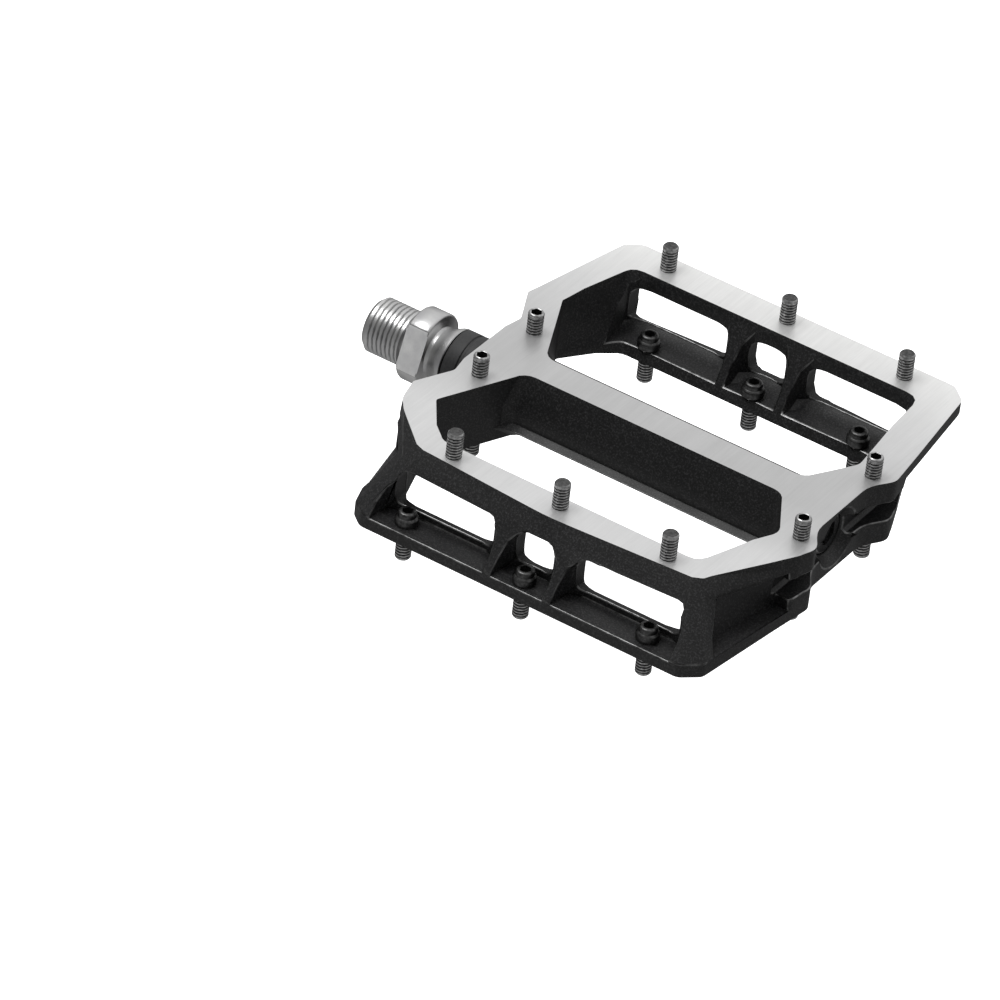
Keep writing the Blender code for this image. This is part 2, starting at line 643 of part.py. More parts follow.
def window_tool():
    """Round-cornered windows through the rail's web, one in each bay."""
    bm = bmesh.new()
    for bay_start, bay_end in bay_spans(BAY_END_INBOARD_X, BAY_END_OUTBOARD_X):
        start = bay_start + WINDOW_INSET
        end = bay_end - WINDOW_INSET
        corners = [
            (start, -WINDOW_HALF_HEIGHT, WINDOW_CORNER_RADIUS),
            (end, -WINDOW_HALF_HEIGHT, WINDOW_CORNER_RADIUS),
            (end, WINDOW_HALF_HEIGHT, WINDOW_CORNER_RADIUS),
            (start, WINDOW_HALF_HEIGHT, WINDOW_CORNER_RADIUS),
        ]
        section = [(p.x, p.y) for p in rounded(corners)]
        prism(bm, section, WEB_INNER_Y - WINDOW_MARGIN, WEB_OUTER_Y + WINDOW_MARGIN, axis="Y")
    add_twin(bm)
    return bm


def recess_ring(side, share, depth, flare):
    """Plan of the recess beside the short rail, where the end wall is the given share of the way down."""
    wall = end_wall(side)
    bottom_corner = Vector((wall["long_end"].x, -wall["long_end"].y))
    corner = wall["short_end"].lerp(bottom_corner, share)
    along = (wall["trailing_lobe"] - corner).normalized()
    inward = Vector((along.y, -along.x)) * -side
    start = corner + along * RECESS_END
    end = wall["trailing_lobe"] - along * RECESS_LOBE_REACH
    outside = inward * -(RECESS_SHELF + CUT_MARGIN)
    corners = [start + inward * depth, end + inward * depth, end + outside, corner + along * flare + outside]
    return rounded([(*corner, RECESS_RADIUS) for corner in corners])


def recess_tool():
    """A recess in each end wall beside the short rail, with a shelf over the lower lip, and their twins."""
    wall_height = FACE_HEIGHT + LIP_Z
    top_share = (FACE_HEIGHT - RECESS_TOP_Z) / wall_height
    floor_share = (FACE_HEIGHT + RECESS_FLOOR_Z) / wall_height
    bm = bmesh.new()
    for side in (-1, 1):
        upper = recess_ring(side, top_share, RECESS_TOP_DEPTH, RECESS_FLARE)
        lower = recess_ring(side, floor_share, RECESS_SHELF, RECESS_FLARE)
        add_rings(bm, [at_height(upper, RECESS_TOP_Z), at_height(lower, -RECESS_FLOOR_Z)])
    add_twin(bm)
    return bm


def channel_tool():
    """Channel along the outboard end, under its lobes."""
    floor = OUTBOARD_FACE_X - CHANNEL_DEPTH
    outside = OUTBOARD_LOBE_X + CUT_MARGIN
    section = [
        (floor, -CHANNEL_HALF_HEIGHT + CHANNEL_CHAMFER),
        (floor + CHANNEL_CHAMFER, -CHANNEL_HALF_HEIGHT),
        (outside, -CHANNEL_HALF_HEIGHT),
        (outside, CHANNEL_HALF_HEIGHT),
        (floor + CHANNEL_CHAMFER, CHANNEL_HALF_HEIGHT),
        (floor, CHANNEL_HALF_HEIGHT - CHANNEL_CHAMFER),
    ]
    bm = bmesh.new()
    prism(bm, section, -CHANNEL_HALF_LENGTH, CHANNEL_HALF_LENGTH, axis="Y")
    return bm


def bore_tool():
    """Stepped bore for the bush, the shaft, the bearings and the end cap, which lies in a round scoop."""
    bush_bore = BUSH_OUTER_RADIUS + FIT_GAP
    mouth = OUTBOARD_FACE_X + CUT_MARGIN
    profile = [
        (bush_bore, -INBOARD_LOBE_X - CUT_MARGIN),
        (bush_bore, BUSH_END_X + FIT_GAP),
        (SPAR_BORE_RADIUS, BUSH_END_X + FIT_GAP),
        (SPAR_BORE_RADIUS, BEARING_START_X - FIT_GAP),
        (CAGE_BORE_RADIUS, BEARING_START_X - FIT_GAP),
        (CAGE_BORE_RADIUS, CAP_END_X),
        (SCOOP_RADIUS, OUTBOARD_FACE_X),
        (SCOOP_RADIUS, mouth),
    ]
    bm = bmesh.new()
    turned(bm, profile, AXLE_SEGMENTS, Z_TO_X)
    return bm


def rail_pin_places():
    """Name, x and y of each pin in the rails of the upper face."""
    places = []
    for label, x in (("inboard", -1), ("middle", 0), ("outboard", 1)):
        long_y = LONG_PIN_Y if x else LONG_PIN_MID_Y
        places.append((f"long_{label}", x * LONG_PIN_X, long_y))
        places.append((f"short_{label}", x * SHORT_PIN_X, -SHORT_PIN_Y))
    return places


def end_pin_places():
    """Name, x and y of each pin in the end blocks of the upper face."""
    places = []
    for label, side in (("leading", 1), ("trailing", -1)):
        places.append((f"inboard_{label}", -END_PIN_INBOARD_X, side * END_PIN_INBOARD_Y))
        places.append((f"outboard_{label}", END_PIN_OUTBOARD_X, side * END_PIN_OUTBOARD_Y))
    return places


def pin_hole_tool():
    """Through holes for the rail pins, blind holes for the end pins, and their twins."""
    hole = PIN_RADIUS + FIT_GAP
    top = FACE_HEIGHT + CUT_MARGIN
    bm = bmesh.new()
    for _, x, y in rail_pin_places():
        profile = [(hole, top), (hole, FLOOR_Z - FLANGE_THICKNESS / 2)]
        turned(bm, profile, PIN_SEGMENTS, Matrix.Translation((x, y, 0)))
    depth = FACE_HEIGHT - DISH_DEPTH - END_PIN_SUNK - FIT_GAP
    for _, x, y in end_pin_places():
        turned(bm, [(hole, top), (hole, depth)], PIN_SEGMENTS, Matrix.Translation((x, y, 0)))
    add_twin(bm)
    return bm


def make_cage(parent):
    cage = add_object("pedal_cage", cage_hull(), metal("anodised_cage", (0.03, 0.03, 0.032), 0.42), parent)
    combine(cage, opening_tool())
    combine(cage, spar_body(), "UNION")
    combine(cage, dish_tool())
    combine(cage, inner_bay_tool())
    combine(cage, outer_bay_tool())
    combine(cage, window_tool())
    combine(cage, recess_tool())
    combine(cage, channel_tool())
    combine(cage, bore_tool())
    combine(cage, pin_hole_tool())
    tidy_faces(cage)
    return cage


def rail_pin_mesh():
    """Pin standing on the upper face, its stepped head under the flange."""
    seat = FLOOR_Z - FIT_GAP
    tip = FACE_HEIGHT + RAIL_PIN_STAND
    shoulder = seat - RAIL_PIN_COLLAR_HEIGHT
    crown = shoulder - RAIL_PIN_CROWN_HEIGHT
    chamfer = PIN_TIP_CHAMFER
    return [
        (PIN_RADIUS - chamfer, tip),
        (PIN_RADIUS, tip - chamfer),
        (PIN_RADIUS, seat),
        (RAIL_PIN_COLLAR_RADIUS, seat),
        (RAIL_PIN_COLLAR_RADIUS, shoulder + chamfer),
        (RAIL_PIN_CROWN_RADIUS, shoulder),
        (RAIL_PIN_CROWN_RADIUS, crown + chamfer),
        (RAIL_PIN_CROWN_RADIUS - chamfer, crown),
        (PIN_SOCKET_ACROSS / 2, crown, "hex"),
        (PIN_SOCKET_ACROSS / 2, crown + PIN_SOCKET_DEPTH, "hex"),
    ]


def end_pin_mesh():
    """Grub screw standing on the upper face, with its socket on top."""
    face = FACE_HEIGHT - DISH_DEPTH
    tip = face + END_PIN_STAND
    foot = face - END_PIN_SUNK
    chamfer = PIN_TIP_CHAMFER
    return [
        (PIN_SOCKET_ACROSS / 2, tip - PIN_SOCKET_DEPTH, "hex"),
        (PIN_SOCKET_ACROSS / 2, tip, "hex"),
        (PIN_RADIUS - chamfer, tip),
        (PIN_RADIUS, tip - chamfer),
        (PIN_RADIUS, foot + chamfer),
        (PIN_RADIUS - chamfer, foot),
    ]


def make_pins(parent):
    steel = metal("black_steel_pin", (0.02, 0.02, 0.022), 0.38)
    kinds = (("rail_pin", rail_pin_places(), rail_pin_mesh()), ("end_pin", end_pin_places(), end_pin_mesh()))
    for kind, places, profile in kinds:
        for face, turn in (("upper", Matrix.Identity(4)), ("lower", HALF_TURN)):
            for label, x, y in places:
                bm = bmesh.new()
                turned(bm, profile, PIN_SEGMENTS, turn @ Matrix.Translation((x, y, 0)))
                add_object(f"{kind}_{face}_{label}", bm, steel.copy(), parent)


def make_axle(parent):
    bearing_foot = BEARING_START_X - FIT_GAP
    profile = [
        (THREAD_RADIUS - THREAD_CHAMFER, AXLE_TIP_X),
        (THREAD_RADIUS, AXLE_TIP_X + THREAD_CHAMFER),
        (THREAD_RADIUS, CRANK_SEAT_X),
        (COLLAR_RADIUS - COLLAR_CHAMFER, CRANK_SEAT_X),
        (COLLAR_RADIUS, CRANK_SEAT_X + COLLAR_CHAMFER),
        (COLLAR_RADIUS, COLLAR_START_X - COLLAR_CHAMFER),
        (COLLAR_RADIUS - COLLAR_CHAMFER, COLLAR_START_X),
        (WAIST_RADIUS, COLLAR_START_X + WAIST_STEP),
        (WAIST_RADIUS, COLLAR_START_X + WAIST_FLARE_START),
        ((WAIST_RADIUS + SEAL_RADIUS) / 2, COLLAR_START_X + WAIST_FLARE_MIDDLE),
        (SEAL_RADIUS, WAIST_START_X),
        (JOURNAL_RADIUS, WAIST_START_X),
        (JOURNAL_RADIUS, BUSH_END_X),
        (SHAFT_ROOT_RADIUS, BUSH_END_X),
        (SHAFT_ROOT_RADIUS, BUSH_END_X + SHAFT_TAPER),
        (SHAFT_END_RADIUS, bearing_foot - SHAFT_TAPER),
        (SHAFT_END_RADIUS, bearing_foot),
        (BEARING_SEAT_RADIUS, bearing_foot),
        (BEARING_SEAT_RADIUS, NUT_END_X - PIN_TIP_CHAMFER),
        (BEARING_SEAT_RADIUS - PIN_TIP_CHAMFER, NUT_END_X),
    ]
    bm = bmesh.new()
    turned(bm, profile, AXLE_SEGMENTS, Z_TO_X)
    axle = add_object("axle", bm, metal("machined_steel", (0.62, 0.62, 0.63), 0.30), parent)
    flats = bmesh.new()
    wide = 2 * COLLAR_RADIUS
    for side in (1, -1):
        inner = side * WRENCH_ACROSS / 2
        section = [(inner, -wide), (side * wide, -wide), (side * wide, wide), (inner, wide)]
        prism(flats, section, CRANK_SEAT_X - FIT_GAP, COLLAR_START_X + FIT_GAP)
    turn = Matrix.Rotation(math.radians(WRENCH_ANGLE_DEG), 4, "X")
    bmesh.ops.transform(flats, matrix=turn, verts=flats.verts)
    combine(axle, flats)


def tube(name, inner, outer, start, end, segments, material, parent):
    bm = bmesh.new()
    profile = [(outer, start), (outer, end), (inner, end), (inner, start)]
    turned(bm, profile, segments, Z_TO_X, closed=True)
    return add_object(name, bm, material, parent)


def make_bearing(number, start, parent):
    """One cartridge bearing: two grooved races and a ball set held by its retainer ring."""
    steel = metal("bearing_steel", (0.7, 0.7, 0.71), 0.2)
    end = start + BEARING_WIDTH
    middle = (start + end) / 2
    pitch = (BEARING_BORE + BEARING_OUTSIDE) / 4
    groove = BALL_RADIUS + FIT_GAP
    inner_top = BEARING_BORE / 2 + RACE_WALL
    outer_top = BEARING_OUTSIDE / 2 - RACE_WALL
    races = (
        ("inner", BEARING_BORE / 2, inner_top, pitch - groove),
        ("outer", BEARING_OUTSIDE / 2, outer_top, pitch + groove),
    )
    for label, seat, land, depth in races:
        profile = [
            (seat, start),
            (seat, end),
            (land, end),
            (land, middle + groove),
            (depth, middle + groove / 2),
            (depth, middle - groove / 2),
            (land, middle - groove),
            (land, start),
        ]
        bm = bmesh.new()
        turned(bm, profile, BEARING_SEGMENTS, Z_TO_X, closed=True)
        add_object(f"bearing_{number}_{label}_race", bm, steel.copy(), parent)
    balls = tube(
        f"bearing_{number}_balls",
        pitch - RETAINER_HALF,
        pitch + RETAINER_HALF,
        middle - RETAINER_HALF,
        middle + RETAINER_HALF,
        BEARING_SEGMENTS,
        steel.copy(),
        parent,
    )
    bm = bmesh.new()
    for i in range(BALL_COUNT):
        angle = 2 * math.pi * i / BALL_COUNT
        place = Matrix.Translation((middle, pitch * math.cos(angle), pitch * math.sin(angle)))
        bmesh.ops.create_uvsphere(
            bm, u_segments=BALL_SEGMENTS, v_segments=BALL_RINGS, radius=BALL_RADIUS, matrix=place
        )
    combine(balls, bm, "UNION")


def make_running_parts(parent):
    rubber = metal("seal_rubber", (0.02, 0.02, 0.02), 0.65, 0.0)
    tube("axle_seal", JOURNAL_RADIUS + FIT_GAP, SEAL_RADIUS, SEAL_END_X, SEAL_START_X, AXLE_SEGMENTS, rubber, parent)
    bronze = metal("bush_polymer", (0.25, 0.2, 0.12), 0.5)
    tube(
        "axle_bush", BUSH_INNER_RADIUS, BUSH_OUTER_RADIUS, BUSH_START_X, BUSH_END_X, BEARING_SEGMENTS, bronze, parent
    )
    for number in range(BEARING_COUNT):
        make_bearing(number + 1, BEARING_START_X + number * BEARING_STEP, parent)
    steel = metal("zinc_steel", (0.6, 0.6, 0.6), 0.35)
    bore = BEARING_SEAT_RADIUS + FIT_GAP
    washer_end = WASHER_START_X + WASHER_THICKNESS
    tube("axle_washer", bore, WASHER_RADIUS, WASHER_START_X, washer_end, BEARING_SEGMENTS, steel, parent)
    nut = bmesh.new()
    profile = [
        (NUT_ACROSS / 2, NUT_START_X, "hex"),
        (NUT_ACROSS / 2, NUT_END_X, "hex"),
        (bore, NUT_END_X),
        (bore, NUT_START_X),
    ]
    turned(nut, profile, BEARING_SEGMENTS, Z_TO_X, closed=True)
    add_object("axle_nut", nut, steel.copy(), parent)
    cap = bmesh.new()
    profile = [
        (CAP_RADIUS, CAP_START_X),
        (CAP_RADIUS, CAP_END_X),
        (CAP_SOCKET_ACROSS / 2, CAP_END_X, "hex"),
        (CAP_SOCKET_ACROSS / 2, CAP_END_X - CAP_SOCKET_DEPTH, "hex"),
    ]
    turned(cap, profile, BEARING_SEGMENTS, Z_TO_X)
    add_object("end_cap", cap, metal("anodised_cap", (0.05, 0.05, 0.05), 0.4), parent)


def main():
    clear_scene()
    axis = bpy.data.objects.new("axle_axis", None)
    axis.location = (CAGE_MIDDLE_X, 0, 0)
    bpy.context.scene.collection.objects.link(axis)
    make_cage(axis)
    make_pins(axis)
    make_axle(axis)
    make_running_parts(axis)


main()
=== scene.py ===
"""Looks of a flat bicycle pedal: black anodised cage with bright machined faces, steel axle and threaded pins."""

import math

import bmesh
import bpy
from mathutils import Matrix, Vector


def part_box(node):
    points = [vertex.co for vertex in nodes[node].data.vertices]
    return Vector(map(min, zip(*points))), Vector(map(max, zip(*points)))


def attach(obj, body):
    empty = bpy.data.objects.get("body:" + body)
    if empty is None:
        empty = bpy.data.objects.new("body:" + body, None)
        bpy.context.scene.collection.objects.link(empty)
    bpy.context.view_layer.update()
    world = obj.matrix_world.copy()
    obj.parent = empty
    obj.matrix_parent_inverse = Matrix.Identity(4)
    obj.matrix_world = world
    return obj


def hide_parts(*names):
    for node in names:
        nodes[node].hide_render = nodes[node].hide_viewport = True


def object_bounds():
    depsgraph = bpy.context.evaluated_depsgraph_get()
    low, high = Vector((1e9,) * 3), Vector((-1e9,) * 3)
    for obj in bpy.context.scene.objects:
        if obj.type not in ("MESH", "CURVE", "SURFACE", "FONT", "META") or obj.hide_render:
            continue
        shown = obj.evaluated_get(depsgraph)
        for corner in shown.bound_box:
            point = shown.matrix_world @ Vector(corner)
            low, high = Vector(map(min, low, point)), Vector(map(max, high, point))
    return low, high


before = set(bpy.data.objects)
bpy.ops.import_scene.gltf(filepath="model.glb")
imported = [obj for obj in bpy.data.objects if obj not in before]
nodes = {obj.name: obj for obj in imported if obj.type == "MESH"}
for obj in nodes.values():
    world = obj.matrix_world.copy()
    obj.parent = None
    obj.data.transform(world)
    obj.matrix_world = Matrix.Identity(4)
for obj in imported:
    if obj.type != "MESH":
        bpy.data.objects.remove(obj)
cad_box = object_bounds()

# Camera, as the photograph was taken
CAMERA_LOCATION = (0.78104, -1.41884, 1.14579)
CAMERA_ROTATION_DEG = (53.970, -5.565, 33.727)
CAMERA_LENS_MM = 299.82
CAMERA_SENSOR_MM = 36.0
CAMERA_CLIP_END = 20.0

# Stage, with the sky's (height, grey) stops from the bottom to the top of its tilted axis
FLOOR_SIZE = 6.0
FLOOR_GAP = 0.001
FLOOR_GLOW = 1.0
SKY_STRENGTH = 1.0
SKY_TILT_DEG = 35.0
SKY_STOPS = [
    (0.0, 0.50),
    (0.20, 0.36),
    (0.35, 0.27),
    (0.55, 0.22),
    (0.65, 0.28),
    (0.80, 0.66),
    (0.95, 0.95),
    (1.0, 1.0),
]
KEY_PLACE = (-0.60, -0.25, 1.50)
KEY_SIZE = 0.7
KEY_POWER = 11.0

# Bright faces: painted light and shade across them as (share of the way from the trailing to the leading edge,
# colour) stops, tool lines and haze
FACE_NORMAL_LEAST = 0.99
FACE_HEIGHT_LEAST = 0.0080
FACE_HALF_WIDTH = 0.060
FACE_LIGHT_AND_SHADE_STOPS = [
    (0.0, 0.75),
    (0.25, 0.75),
    (0.45, 0.57),
    (0.60, 0.59),
    (0.80, 0.75),
    (1.0, (0.92, 0.92, 0.91)),
]
BRUSH_STRETCH = (1500.0, 45.0, 60.0)
BRUSH_STOPS = [(0.25, 0.88), (0.75, 1.0)]
HAZE_STRETCH = (140.0, 60.0, 60.0)
HAZE_STOPS = [(0.3, 0.94), (0.7, 1.0)]

# Colours of the other finishes, as (noise value, colour) stops
SPECKLE_STOPS = [
    (0.35, (0.004, 0.004, 0.0042)),
    (0.52, (0.010, 0.010, 0.0104)),
    (0.68, (0.042, 0.042, 0.043)),
]
# Paler metal on the bevelled cage edges, a painted edge highlight
EDGE_HIGHLIGHT_STOPS = [(0.35, 0.05), (0.7, 0.24)]
RUBBER_STOPS = [(0.3, (0.016, 0.016, 0.017)), (0.7, (0.032, 0.032, 0.033))]
BUSH_STOPS = [(0.3, (0.18, 0.13, 0.06)), (0.7, (0.26, 0.19, 0.10))]
LATHE_STRETCH = (4200.0, 40.0, 40.0)
STEEL_SHADE = (0.86, 0.86, 0.87)
STEEL_SHINE = (1.08, 1.08, 1.07)
STEEL_ROUGH_LEAST = 0.8
STEEL_ROUGH_MOST = 1.5
OXIDE_SHADE = 0.6
OXIDE_SHINE = 1.5

# Edges of the cage, its pin holes, and the roots where its spar meets the end blocks
CAGE_FINISHES = ("black", "bright", "edge")
BRIGHT_INDEX = CAGE_FINISHES.index("bright")
WELD_DISTANCE = 1e-6
FLAT_ANGLE_DEG = 0.5
CAGE_BEVEL = 0.00030
CAGE_BEVEL_SEGMENTS = 2
CAGE_BEVEL_ANGLE_DEG = 36.0
CAGE_CREASE_DEG = 34.0
FACE_AREA_WEIGHT = 100
SPAR_HALF_WIDTH = 0.0100
SPAR_CREASE_LENGTH = 0.0300
SPAR_ROOT_X = (0.0355, 0.0412)
SPAR_ROOT_Y = (0.0070, 0.0120)
PIN_HOLE_REACH = 0.0027
PIN_HOLE_RADIUS = 0.00203

# Pins
PIN_RADIUS = 0.0020
PIN_CHAMFER = 0.00035
PIN_SEGMENTS = 28
PIN_PITCH = 0.0008
PIN_THREAD_DEPTH = 0.00040
PIN_THREAD_START = PIN_CHAMFER * 1.5
PIN_ROWS_PER_TURN = 8
PIN_CREST_SHARE = 1.7
# Faces within these limits, on the thread's crests and the tip's rim, take the paler oxide as a painted highlight
PIN_CREST_RADIUS = 0.00188
CREST_SLOPE_MOST = 0.6
RIM_SLOPE_LEAST = 0.2
RAIL_THREAD_END = 0.0085
END_THREAD_END = 0.0075
FLAT_CENTRE = 0.0006
SOCKET_ACROSS = 0.0025
SOCKET_DEPTH = 0.0018
SOCKET_MOUTH = 0.0001
SOCKET_CONE = 0.0003
SOCKET_CENTRE = 0.0004

# Tips of the pins, as (inset from the pin's radius, drop below its tip)
RAIL_TIP = [(PIN_CHAMFER, 0.0), (PIN_CHAMFER * 0.2, PIN_CHAMFER)]
END_TIP = [(PIN_CHAMFER * 1.35, 0.0), (PIN_CHAMFER * 0.9, 0.00008), (PIN_CHAMFER * 0.3, PIN_CHAMFER * 0.8)]

# Stepped head of a rail pin, as (inset from its widest radius, rise above its seat, its step or its crown)
HEAD_COLLAR = 0.0023
HEAD_CROWN = 0.0014
HEAD_SEAT_EDGE = [(0.0002, 0.0), (0.0, -0.0002)]
HEAD_STEP_EDGE = [(0.0, 0.0006), (0.0001, 0.0004), (0.0005, 0.0001), (0.0006, 0.0)]
HEAD_CROWN_EDGE = [(0.0006, 0.0006), (0.0007, 0.0003), (0.0010, 0.00005), (0.0013, 0.0)]

# Axle, from its threaded tip towards the cage
AXLE_SEGMENTS = 144
AXLE_PITCH = 0.00127
AXLE_THREAD_DEPTH = 0.00062
AXLE_ROWS_PER_TURN = 12
AXLE_CREST_SHARE = 2.5
THREAD_RADIUS = 0.00714
THREAD_CHAMFER = 0.0011
THREAD_LENGTH = 0.0120
THREAD_LEAD_INSET = 0.0003
THREAD_LEAD_START = THREAD_CHAMFER * 0.75
TIP_EDGE = [(-0.0008, 0.0), (0.0, 0.0), (0.0002, 0.0001)]
RELIEF_LENGTH = AXLE_PITCH * 0.9
RELIEF_FILLET = 0.0003
COLLAR_RADIUS = 0.0096
COLLAR_LENGTH = 0.0060
COLLAR_CHAMFER = 0.0006
COLLAR_ROUND_OUT = COLLAR_CHAMFER * 0.7
COLLAR_ROUND_IN = COLLAR_CHAMFER * 0.4
WRENCH_ACROSS = 0.0150
WRENCH_ANGLE_DEG = 70.0
WRENCH_SLOPE_LEAST = 0.01
WAIST_LENGTH = 0.0055
WAIST_RADIUS = 0.0064
WAIST_FILLET = [(0.0008, 0.00005), (0.0002, 0.0003), (0.0, 0.0010)]
WAIST_SHARES = (0.25, 0.4, 0.55, 0.7, 0.82, 0.92)
WAIST_SWELL_START = 0.18
WAIST_SWELL_SPAN = 0.82
WAIST_EDGE = 0.0002
JOURNAL_RADIUS = 0.0057
SHAFT_ROOT_RADIUS = 0.0048
SHAFT_END_RADIUS = 0.0036
SHAFT_TAPER = 0.0120
BEARING_SEAT_RADIUS = 0.0022
AXLE_END_CHAMFER = 0.00035
FIT_GAP = 0.0003

# Seal and end cap
SEAL_RADIUS = 0.0081
SEAL_LIP = 0.0003
SEAL_LIP_ROUND = SEAL_LIP * 0.3
SEAL_GROOVE_SHARE = 0.62
SEAL_GROOVE_WIDTH = 0.0005
CAP_RIM = 0.0007
CAP_CENTRE = 0.0005
CAP_SOCKET_ACROSS = 0.0060
CAP_SOCKET_DEPTH = 0.0009
CAP_SOCKET_FLOOR = 0.0010

SOFT_ANGLE_DEG = 35.0
Z_TO_X = Matrix.Rotation(math.pi / 2, 4, "Y")


def opaque(colour):
    """Full colour from a grey level or three channels."""
    channels = colour if isinstance(colour, tuple) else (colour, colour, colour)
    return (*channels, 1.0)


def new_material(name, colour, roughness, metallic):
    """A Principled material, with its node tree and shader."""
    material = bpy.data.materials.new(name)
    material.use_nodes = True
    tree = material.node_tree
    shader = tree.nodes["Principled BSDF"]
    shader.inputs["Base Color"].default_value = opaque(colour)
    shader.inputs["Roughness"].default_value = roughness
    shader.inputs["Metallic"].default_value = metallic
    return material, tree, shader


def object_coordinates(tree, scale=(1.0, 1.0, 1.0)):
    """Coordinates in the part's own frame, stretched by the given scale."""
    source = tree.nodes.new("ShaderNodeTexCoord")
    mapping = tree.nodes.new("ShaderNodeMapping")
    mapping.inputs["Scale"].default_value = scale
    tree.links.new(source.outputs["Object"], mapping.inputs["Vector"])
    return mapping.outputs["Vector"]


def noise(tree, vector, scale, detail=4.0, roughness=0.55):
    """Noise value at a vector."""
    node = tree.nodes.new("ShaderNodeTexNoise")
    node.inputs["Scale"].default_value = scale
    node.inputs["Detail"].default_value = detail
    node.inputs["Roughness"].default_value = roughness
    tree.links.new(vector, node.inputs["Vector"])
    return node.outputs["Fac"]


def ramp(tree, value, stops):
    """Colour ramp over (position, colour) stops."""
    node = tree.nodes.new("ShaderNodeValToRGB")
    elements = node.color_ramp.elements
    while len(elements) < len(stops):
        elements.new(0.5)
    for element, (position, colour) in zip(elements, stops):
        element.position = position
        element.color = opaque(colour)
    tree.links.new(value, node.inputs["Fac"])
    return node.outputs["Color"]


def spread(tree, value, low, high):
    """Maps a 0 to 1 value to the range low to high."""
    node = tree.nodes.new("ShaderNodeMapRange")
    node.inputs["To Min"].default_value = low
    node.inputs["To Max"].default_value = high
    tree.links.new(value, node.inputs["Value"])
    return node.outputs["Result"]


def shaded(tree, colour, shade):
    """A colour darkened by a second, varying one."""
    node = tree.nodes.new("ShaderNodeMix")
    node.data_type = "RGBA"
    node.blend_type = "MULTIPLY"
    node.inputs["Factor"].default_value = 1.0
    tree.links.new(colour, node.inputs["A"])
    tree.links.new(shade, node.inputs["B"])
    return node.outputs["Result"]


def bump(tree, shader, height, strength, distance):
    """Fine relief of a surface."""
    node = tree.nodes.new("ShaderNodeBump")
    node.inputs["Strength"].default_value = strength
    node.inputs["Distance"].default_value = distance
    tree.links.new(height, node.inputs["Height"])
    tree.links.new(node.outputs["Normal"], shader.inputs["Normal"])


def machined_aluminium():
    """Bright face-milled aluminium with fine straight tool lines, and painted light and shade across the faces:
    darker over the spar, paler towards both rails, palest along the leading edge.
    """
    material, tree, shader = new_material("bright_aluminium", colour=0.80, roughness=0.40, metallic=0.6)
    lines = noise(tree, object_coordinates(tree, BRUSH_STRETCH), scale=1.0, detail=6.0, roughness=0.7)
    cloud = noise(tree, object_coordinates(tree, HAZE_STRETCH), scale=1.0, detail=3.0)
    parts = tree.nodes.new("ShaderNodeSeparateXYZ")
    tree.links.new(object_coordinates(tree), parts.inputs["Vector"])
    across = tree.nodes.new("ShaderNodeMapRange")
    across.inputs["From Min"].default_value = -FACE_HALF_WIDTH
    across.inputs["From Max"].default_value = FACE_HALF_WIDTH
    tree.links.new(parts.outputs["Y"], across.inputs["Value"])
    # This ramp across the faces is painted light and shade, not a change in the metal
    colour = ramp(tree, across.outputs["Result"], FACE_LIGHT_AND_SHADE_STOPS)
    colour = shaded(tree, colour, ramp(tree, lines, BRUSH_STOPS))
    colour = shaded(tree, colour, ramp(tree, cloud, HAZE_STOPS))
    tree.links.new(colour, shader.inputs["Base Color"])
    tree.links.new(spread(tree, lines, low=0.32, high=0.50), shader.inputs["Roughness"])
    bump(tree, shader, lines, strength=0.25, distance=0.00004)
    return material


def black_anodise():
    """Satin black anodised aluminium, finely grained."""
    black = (0.016, 0.016, 0.0165)
    material, tree, shader = new_material("black_anodise", black, roughness=0.46, metallic=0.0)
    shader.inputs["Specular IOR Level"].default_value = 0.40
    grain = noise(tree, object_coordinates(tree), scale=2400.0, detail=2.0, roughness=0.6)
    cloud = noise(tree, object_coordinates(tree), scale=160.0)
    tree.links.new(ramp(tree, grain, SPECKLE_STOPS), shader.inputs["Base Color"])
    tree.links.new(spread(tree, cloud, low=0.40, high=0.54), shader.inputs["Roughness"])
    bump(tree, shader, grain, strength=0.5, distance=0.00006)
    return material


def painted_edge_highlight():
    """Thin bevelled edges of the black finish in a paler, smoother metal, a painted edge highlight."""
    material, tree, shader = new_material("anodise_edge_painted_highlight", colour=0.30, roughness=0.34, metallic=1.0)
    cloud = noise(tree, object_coordinates(tree), scale=420.0, detail=5.0, roughness=0.65)
    tree.links.new(ramp(tree, cloud, EDGE_HIGHLIGHT_STOPS), shader.inputs["Base Color"])
    tree.links.new(spread(tree, cloud, low=0.24, high=0.40), shader.inputs["Roughness"])
    return material


def turned_steel(name, tint, rough):
    """Machined steel with fine lines round the axle."""
    material, tree, shader = new_material(name, tint, rough, metallic=1.0)
    lines = noise(tree, object_coordinates(tree, LATHE_STRETCH), scale=1.0, roughness=0.6)
    cloud = noise(tree, object_coordinates(tree), scale=240.0, detail=3.0)
    dark = tuple(tint * share for share in STEEL_SHADE)
    pale = tuple(tint * share for share in STEEL_SHINE)
    tree.links.new(ramp(tree, cloud, [(0.3, dark), (0.7, pale)]), shader.inputs["Base Color"])
    roughness = spread(tree, lines, low=rough * STEEL_ROUGH_LEAST, high=rough * STEEL_ROUGH_MOST)
    tree.links.new(roughness, shader.inputs["Roughness"])
    bump(tree, shader, lines, strength=0.08, distance=0.00003)
    return material


def black_oxide(name, tint):
    """Oiled black oxide on small steel screws; a paler tint of it is a painted highlight on the thread's crests
    and tip rims.
    """
    material, tree, shader = new_material(name, tint, roughness=0.36, metallic=1.0)
    grain = noise(tree, object_coordinates(tree), scale=1400.0, detail=3.0)
    stops = [(0.35, tint * OXIDE_SHADE), (0.75, tint * OXIDE_SHINE)]
    tree.links.new(ramp(tree, grain, stops), shader.inputs["Base Color"])
    tree.links.new(spread(tree, grain, low=0.28, high=0.44), shader.inputs["Roughness"])
    bump(tree, shader, grain, strength=0.15, distance=0.00002)
    return material


